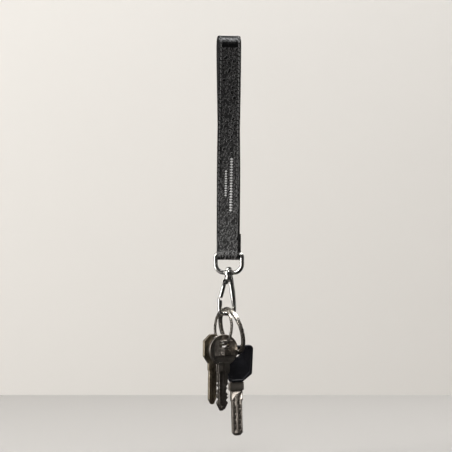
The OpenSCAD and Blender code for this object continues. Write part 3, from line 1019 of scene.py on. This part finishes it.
def round_bow(x, z, radius, slot_loop, rim):
    """A round head: a thinner disc inside a raised rim, with the ring's slot through it."""
    disc = plate([round_loop(x, z, radius - 0.2, 96), slot_loop], KEY_T - 0.5, 0.1, 1)
    band = plate([round_loop(x, z, radius, 96), round_loop(x, z, radius - rim, 96)], KEY_T, 0.55, 2)
    return disc, band


def build_round_key():
    """The nickel house key: round head with a recessed panel, a plain bar, and cuts on the right."""
    x, z, radius = -1.4, -4.7, 12.5
    top = z - radius
    slot_x, slot_top, slot_w, slot_h = x + 0.6, 1.6, 8.4, 4.2
    slot_loop = pad(slot_x - slot_w / 2, slot_x + slot_w / 2, slot_top, slot_top - slot_h, 0.9, steps=4)
    disc, band = round_bow(x, z, radius, slot_loop, 1.25)
    neck = plate([rounded([(x - 4.6, top + 2.6, 0), (x + 5, top + 2.6, 0), (x + 5, top - 5.2, 0.7),
                           (x + 3.6, top - 6.4, 0.5), (x - 4.6, top - 6.4, 0.7)], 3)], KEY_T, 0.25)
    cuts = ((12.5, 1.4), (16.2, 2.2), (20, 0.9), (23.4, 1.5))
    blade = bit(x - 0.3, top - 4, 7.6, 30.6, 4, KEY_T, cuts)
    bar = plate([pad(x - 7.6, x + 7.6, z - 6.5, z - 9.9, 0.6)], KEY_T - 0.1, 0.1, 1)
    key = fuse(disc, band, neck, blade, bar)
    tools = [block((slot_x - 5.4, face * 0.62, z - 4.6), (slot_x + 5.4, face * 2, slot_top + 1.2))
             for face in (-1, 1)]
    tools += [milled_groove(x + 0.1, top + 1.6, top - 14, 1.5, 0.7, face) for face in (-1, 1)]
    tools += [milled_groove(x - 2.6, top - 7, top - 32, 1.2, 0.6, face) for face in (-1, 1)]
    tools += [block((x - 10.2, -KEY_T, z - 5.75), (x + 10.2, -KEY_T / 2 + 0.62, z - 5.35)),
              block((x - 7.2, -KEY_T, z - 10.7), (x + 7.2, -KEY_T / 2 + 0.5, z - 10.35))]
    finish_piece(cut(key, *tools), "round_nickel_key", "round_key", NICKEL, ["round_key"],
                 key_frame(SMALL, -18, 26, 0), KEY_SMOOTH)


def build_rear_key():
    """The second round key, mostly behind the first."""
    x, z, radius = -1.4, -4, 11.5
    top = z - radius
    slot_loop = pad(-4, 4, 1.6, -2.8, 0.9, steps=4)
    disc, band = round_bow(x, z, radius, slot_loop, 1.1)
    neck = plate([pad(x - 4.6, x + 4.4, top + 2.8, top - 6, 0, 0.6)], KEY_T, 0.25)
    cuts = ((11, 1.2), (15, 1.8), (19, 0.8), (24, 1.5))
    blade = bit(x - 0.2, top - 4, 8, 33, 4.4, KEY_T, cuts, -1)
    key = fuse(disc, band, neck, blade)
    tools = [milled_groove(x - 0.5, top - 1, top - 34, 1.5, 0.6, face) for face in (-1, 1)]
    finish_piece(cut(key, *tools), "rear_nickel_key", "rear_key", NICKEL, ["rear_key"],
                 key_frame(SMALL, -4, 27, 0), KEY_SMOOTH)


def octagon(x, z, width, height, inset=0.0):
    """The octagonal head's outline, moved in by inset."""
    w, h = width / 2 - inset, height / 2 - inset
    flat = 3 - inset * 0.2
    soft = 0.8
    return rounded([(x - flat, z + h, soft), (x + flat, z + h, soft), (x + w, z + h - 5, soft),
                    (x + w, z - h + 7.8, soft), (x + flat, z - h, soft), (x - flat, z - h, soft),
                    (x - w, z - h + 7.8, soft), (x - w, z + h - 5, soft)], 3)


def build_octagon_key():
    """The brass key with the octagonal head."""
    x, width, height = -4.8, 19, 25
    z = 1.45 + 3.2 - height / 2
    low = z - height / 2
    hole_r = 3.8
    hole_z = 3.3 - hole_r
    hole = round_loop(x + 3.6, hole_z, hole_r, 48)
    disc = plate([octagon(x, z, width, height, 0.2), hole], KEY_T - 0.5, 0.1, 1)
    band = plate([octagon(x, z, width, height), octagon(x, z, width, height, 1.3)], KEY_T, 0.3, 3)
    neck = plate([pad(x - 4.4, x + 4.4, low + 3, low - 4, 0, 0.6)], KEY_T, 0.25)
    blade = bit(x + 0.2, low - 2, 7.6, 29, 4, KEY_T)
    key = fuse(disc, band, neck, blade)
    tools = [drum((x + 3.6, 0, hole_z), hole_r, 8, 48)]
    tools += [milled_groove(x + 0.1, low - 3, low - 29, 1.5, 0.6, face) for face in (-1, 1)]
    finish_piece(cut(key, *tools), "octagon_brass_key", "octagon_key", BRASS, ["octagon_key"],
                 key_frame(SMALL, 42, 41, 1), KEY_SMOOTH)


# The plastic-headed key
PLASTIC_X = 0.3
PLASTIC_TOP = 5.4
PLASTIC_W = 25.2
HEAD_SHIFT = 2.8
TAPER = 1.8
PLASTIC_H = 29.5
PLASTIC_T = 4.2
HEAD_LOW = PLASTIC_TOP - PLASTIC_H
COLLAR_H = 6.6
NECK_LOW = HEAD_LOW - COLLAR_H - 8.6
BLADE_W = 8.8
BLADE_L = 27.6
TANG_W = 9
TANG_H = 12
TANG_T = 2.4


def dimple_frame():
    return key_frame(LARGE, 0, 22, -1.5)


def tang_block(edge):
    """The tang of the metal blade inside the head, and the socket that it fills."""
    return block((PLASTIC_X - TANG_W / 2, -TANG_T / 2, HEAD_LOW - 1),
                 (PLASTIC_X + TANG_W / 2, TANG_T / 2, HEAD_LOW + TANG_H), edge)


def head_outline(inset, soft):
    w = PLASTIC_W / 2 - inset
    top, low = PLASTIC_TOP - inset, HEAD_LOW + inset
    x = PLASTIC_X + HEAD_SHIFT
    low_w = w - TAPER
    return rounded([(x - w, top, soft + 1), (x + w, top, soft + 1), (x + low_w, low + 6, soft),
                    (PLASTIC_X + 5, low, soft), (PLASTIC_X - 5, low, soft), (x - low_w, low + 6, soft)], 6)


def build_plastic_head():
    """The moulded head: soft edges, a sunk face inside a raised border, and a long hole for the ring."""
    radius = 3.3
    z = 2.6 - radius
    half_turn = [math.pi * k / 16 for k in range(17)]
    hole = [(-radius * math.sin(a), z + radius * math.cos(a)) for a in half_turn]
    hole += [(1.2 + radius * math.sin(a), z - radius * math.cos(a)) for a in half_turn]
    core = plate([head_outline(0.5, 2.2), hole], PLASTIC_T - 0.8, 0.4, 2)
    border = plate([head_outline(0, 2.4), head_outline(2.3, 1.6)], PLASTIC_T, 0.8, 4)
    head = fuse(core, border)
    finish_piece(cut(head, tang_block(0.0)), "moulded_head", "dimple_key", PLASTIC,
                 ["dimple_key_head"], dimple_frame(), 40)


def build_dimple_blade():
    """The steel blade with its tang, collar, milled flutes and two columns of dimples."""
    x = PLASTIC_X
    tang = tang_block(0.1)
    collar = plate([pad(x - 6.2, x + 6.2, HEAD_LOW, HEAD_LOW - COLLAR_H, 0.3, 0.8)], 3.4, 0.35)
    neck = plate([pad(x - 5, x + 5, NECK_LOW + 9, NECK_LOW, 0, 0.8)], 3, 0.3)
    half = BLADE_W / 2
    tip = NECK_LOW - BLADE_L
    nip = 2.2
    blade = [(x - half, NECK_LOW + 1, 0), (x + half, NECK_LOW + 1, 0), (x + half, tip + nip, 1.2),
             (x + half - nip, tip, 1.2), (x - half + nip, tip, 1.2), (x - half, tip + nip, 1.2)]
    blade = plate([rounded(blade, 4)], 3, 0.4)
    key = fuse(collar, tang, neck, blade)
    tools = []
    flutes = ((0.25, 0.12, 1.2, tip + 1.5, NECK_LOW + 6), (3.75, 0.14, 1.3, tip + 3, NECK_LOW + 2))
    dimple_floor, dimple_mouth = 0.3, 1.3
    for face in (-1, 1):
        rear, front = (dimple_mouth, dimple_floor) if face > 0 else (dimple_floor, dimple_mouth)
        for row in range(5):
            for column in (-2, 2):
                centre = (x + column, face * 1.2, NECK_LOW - 5.6 - row * 4.2)
                tools.append(drum(centre, rear, 1.4, 24, front))
        for middle, half_w, floor, low, high in flutes:
            for side in (-1, 1):
                line = x + side * middle
                tools.append(block((line - half_w, face * floor, low), (line + half_w, face * 2, high)))
    finish_piece(cut(key, *tools), "dimple_blade", "dimple_key", KEY_STEEL, ["dimple_key_blade"],
                 dimple_frame(), KEY_SMOOTH)


# ---------- studio ----------
FLOOR_Z = -0.333
WALL_Y = 0.474
STRAP_FOOT = (0, 0, -0.15)


def plain_paint(name, r, g, b, roughness):
    material, tree, shader, coords = new_finish(name)
    cloud = add_node(tree, "ShaderNodeTexNoise", {"Vector": coords, "Scale": 2.0, "Detail": 2.0})
    paint(tree, shader, mix_colour(tree, cloud.outputs["Fac"], colour(r, g, b),
                                   colour(r * 1.03, g * 1.03, b * 1.03)))
    shader.inputs["Roughness"].default_value = roughness
    return material


def build_stage():
    """A pale floor and back wall; the wall is clear from behind, and neither shows in reflections."""
    bpy.ops.mesh.primitive_plane_add(size=8, location=(0, 0, FLOOR_Z))
    floor = bpy.context.view_layer.objects.active
    floor.name = "studio_floor"
    floor.data.materials.append(plain_paint("floor_paint", 0.5, 0.485, 0.465, 0.5))
    bpy.ops.mesh.primitive_plane_add(size=8, location=(0, WALL_Y, 0), rotation=(math.pi / 2, 0, 0))
    wall = bpy.context.view_layer.objects.active
    wall.name = "studio_wall"
    wall.data.materials.append(plain_paint("wall_paint", 0.7, 0.68, 0.65, 0.9))
    tree = wall.data.materials[0].node_tree
    coat = tree.nodes["Principled BSDF"]
    behind = tree.nodes.new("ShaderNodeNewGeometry").outputs["Backfacing"]
    front_only = remap(tree, behind, 0.0, 1.0, 1.0, 0.0)
    tree.links.new(front_only, coat.inputs["Alpha"])
    for surface in (floor, wall):
        surface.visible_glossy = False


def add_softbox(name, place, aim, size, power, tint=(1, 1, 1)):
    light = bpy.data.lights.new(name, "AREA")
    light.shape = "RECTANGLE"
    light.size, light.size_y = size
    light.energy = power
    light.color = tint
    obj = bpy.data.objects.new(name, light)
    bpy.context.scene.collection.objects.link(obj)
    obj.location = place
    obj.rotation_euler = (Vector(aim) - Vector(place)).to_track_quat("-Z", "Y").to_euler()
    return obj


def build_lights():
    """A tall softbox on the left, a thin one on the right, a wash on the wall, and a dark room.

    The room is brighter to the left and above, and it is pale where the camera sees it directly.
    """
    add_softbox("left_softbox", (-0.95, -0.4, 0.1), STRAP_FOOT, (0.22, 1.2), 12, (1, 0.985, 0.96))
    add_softbox("right_strip", (0.8, 0.1, 0.0), STRAP_FOOT, (0.06, 0.9), 0.3, (1, 0.95, 0.88))
    add_softbox("wall_wash", (0.5, -0.05, 1.4), (0.2, WALL_Y, -0.1), (1.6, 0.3), 33)
    world = bpy.data.worlds.new("studio_room")
    bpy.context.scene.world = world
    world.use_nodes = True
    tree = world.node_tree
    sky = tree.nodes["Background"]
    aim = tree.nodes.new("ShaderNodeTexCoord").outputs["Generated"]
    parts = add_node(tree, "ShaderNodeSeparateXYZ", {0: aim})
    from_left = remap(tree, parts.outputs["X"], -0.95, -0.55, 0.7, 0.03)
    in_front = remap(tree, parts.outputs["Y"], -0.1, 0.3, 1.0, 0.05)
    side = add_node(tree, "ShaderNodeMath", {0: from_left, 1: in_front}, operation="MULTIPLY")
    from_above = remap(tree, parts.outputs["Z"], 0.2, 1.0, 0.02, 0.12)
    room = add_node(tree, "ShaderNodeMath", {0: side.outputs[0], 1: from_above}, operation="MAXIMUM")
    seen = tree.nodes.new("ShaderNodeLightPath").outputs["Is Camera Ray"]
    level = remap(tree, seen, 0.0, 1.0, room.outputs[0], 0.75)
    tree.links.new(level, sky.inputs["Strength"])
    sky.inputs["Color"].default_value = (1.0, 0.97, 0.94, 1)
    bpy.context.scene.view_settings.view_transform = "Standard"


def build_camera():
    """Level camera in front, 1.2 m from the strap, framed from above the fold to below the keys."""
    distance, seen_width, sensor = 1.2, 0.3616, 36
    camera = bpy.data.cameras.new("front_camera")
    camera.sensor_width = sensor
    camera.lens = sensor * distance / seen_width
    camera.clip_start = 0.05
    obj = bpy.data.objects.new("front_camera", camera)
    bpy.context.scene.collection.objects.link(obj)
    obj.location = (-0.0022, -distance, -0.1444)
    obj.rotation_euler = (math.pi / 2, 0, 0)
    bpy.context.scene.camera = obj


build_camera()
build_stage()
build_lights()
build_strap()
build_stitches()
build_foil()
build_ring()
build_rivet()
build_hook()
build_gate()
build_pin()
build_spring()
build_rings()
build_round_key()
build_rear_key()
build_octagon_key()
build_plastic_head()
build_dimple_blade()
